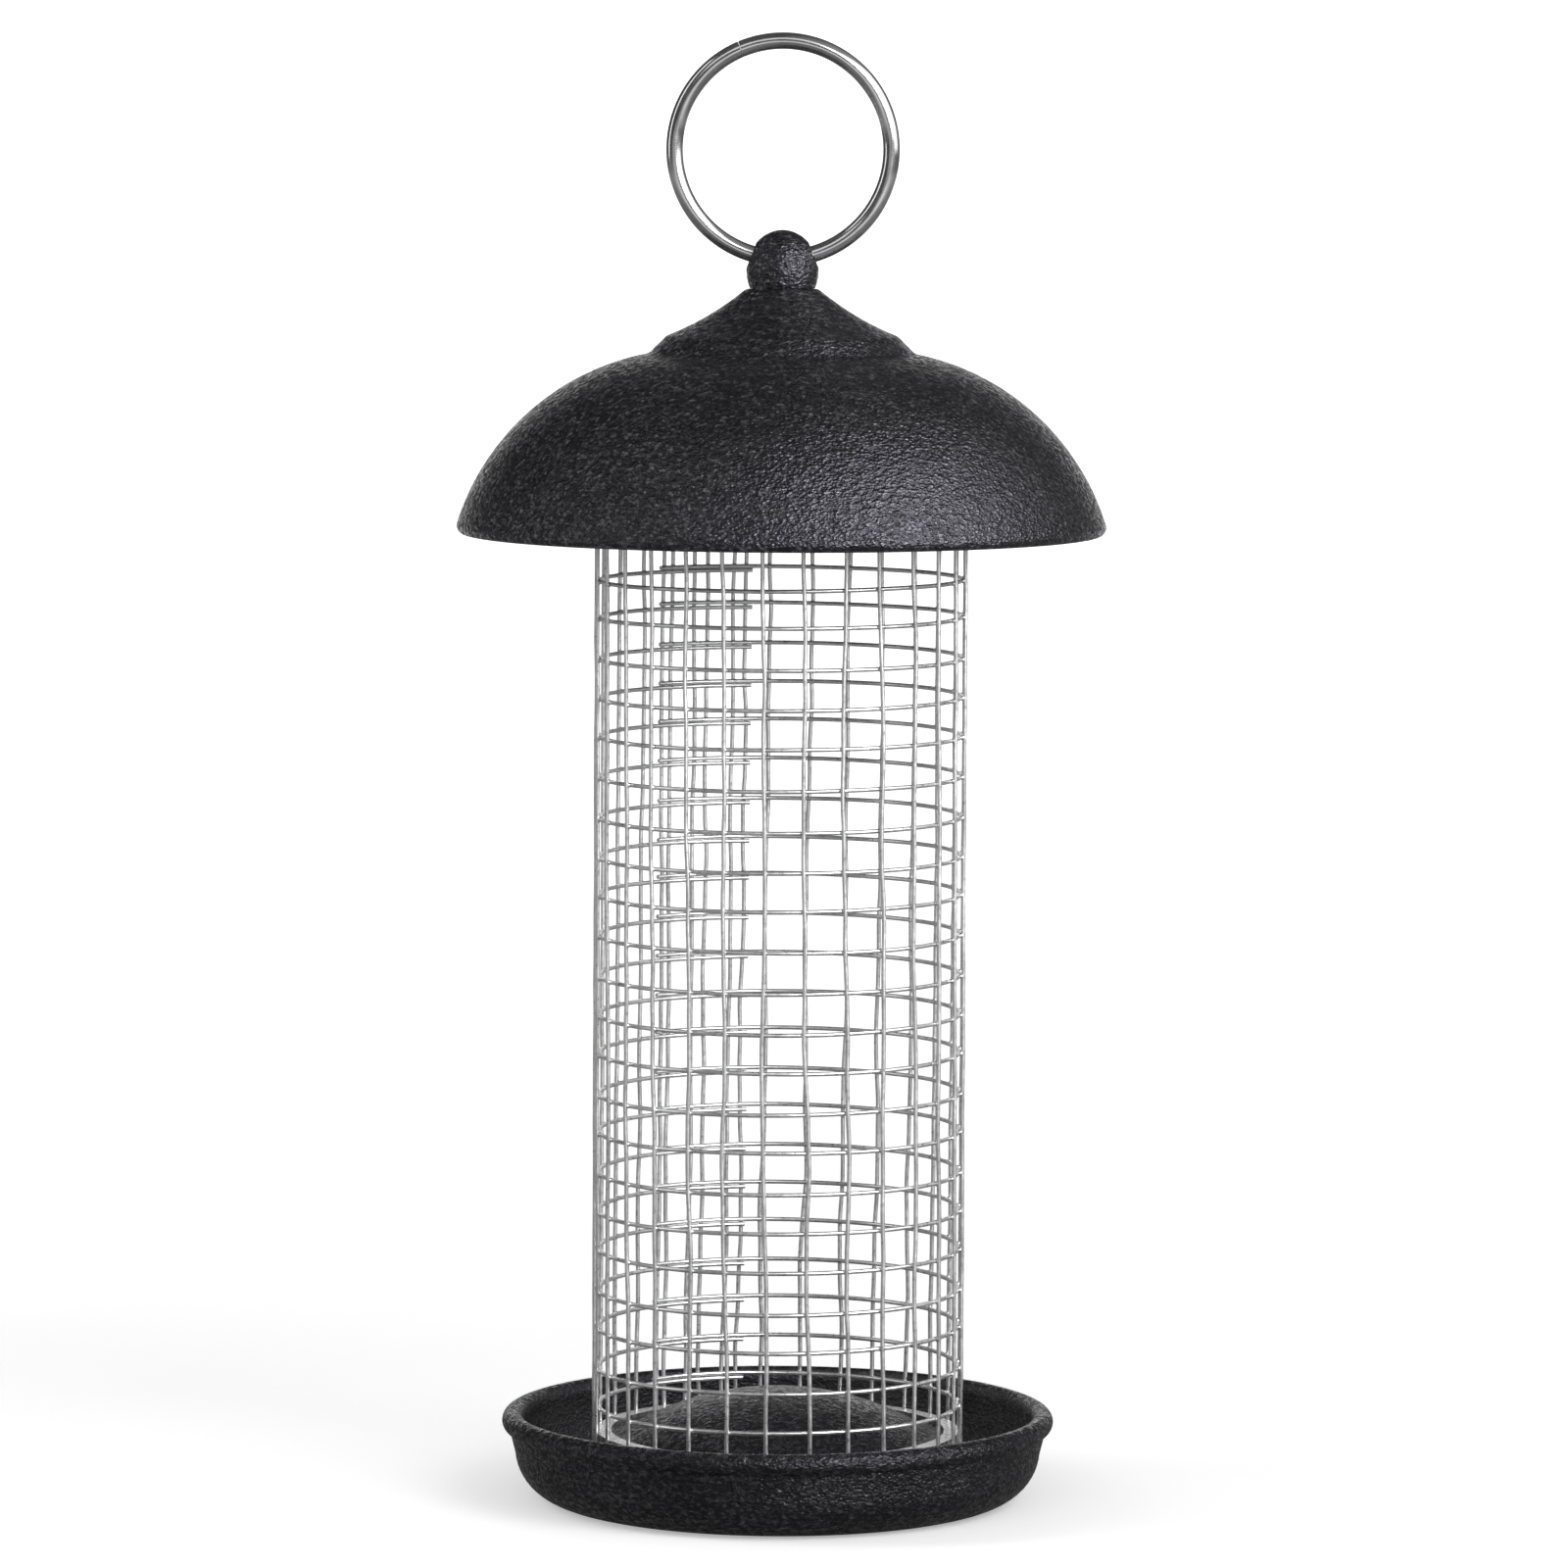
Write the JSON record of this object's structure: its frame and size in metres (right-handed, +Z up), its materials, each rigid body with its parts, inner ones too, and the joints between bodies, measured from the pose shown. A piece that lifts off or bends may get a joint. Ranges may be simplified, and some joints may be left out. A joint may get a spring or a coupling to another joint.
{
  "type": "peanut bird feeder",
  "caption": "Hanging peanut bird feeder: wire mesh tube on a round tray under a domed lift-off roof with a ball finial and hanging ring.",
  "frame": {"origin": "centre of the tray's base, on the surface that the feeder stands on", "axes": "+Z up along the tube, -Y to the front, with the ring upright in the XZ plane"},
  "size_m": [0.1044, 0.1042, 0.2367],
  "materials": {
    "black_paint": "hammered black powder coat with fine grey flecks",
    "mesh_wire": "galvanised wire, bright",
    "zinc": "zinc plated sheet",
    "plated_ring": "polished nickel plate"
  },
  "bodies": {
    "base": {"tray": "black_paint", "foot_ring": "zinc", "foot_rivets": "zinc", "mesh_uprights": "mesh_wire", "mesh_hoops": "mesh_wire", "lap_hoops": "mesh_wire", "top_collar": "zinc", "bayonet_pins": "zinc"},
    "finial": {"finial_ball": "black_paint", "finial_stud": "zinc", "stud_washer": "zinc", "stud_nut": "zinc"},
    "roof": {"roof_shell": "black_paint", "lid_cup": "zinc"},
    "ring": {"hanging_ring": "plated_ring"}
  },
  "joints": [
    {"name": "roof_lift", "type": "slide", "parent": "base", "child": "finial", "axis": [0, 0, 1], "range_m": [0, 0.045]},
    {"name": "roof_twist", "type": "hinge", "parent": "finial", "child": "roof", "pos_m": [0, 0, 0.18], "axis": [0, 0, -1], "range_deg": [0, 25]},
    {"name": "ring_swing", "type": "hinge", "parent": "finial", "child": "ring", "pos_m": [0, 0, 0.20118], "axis": [1, 0, 0], "range_deg": [-115, 115]}
  ]
}
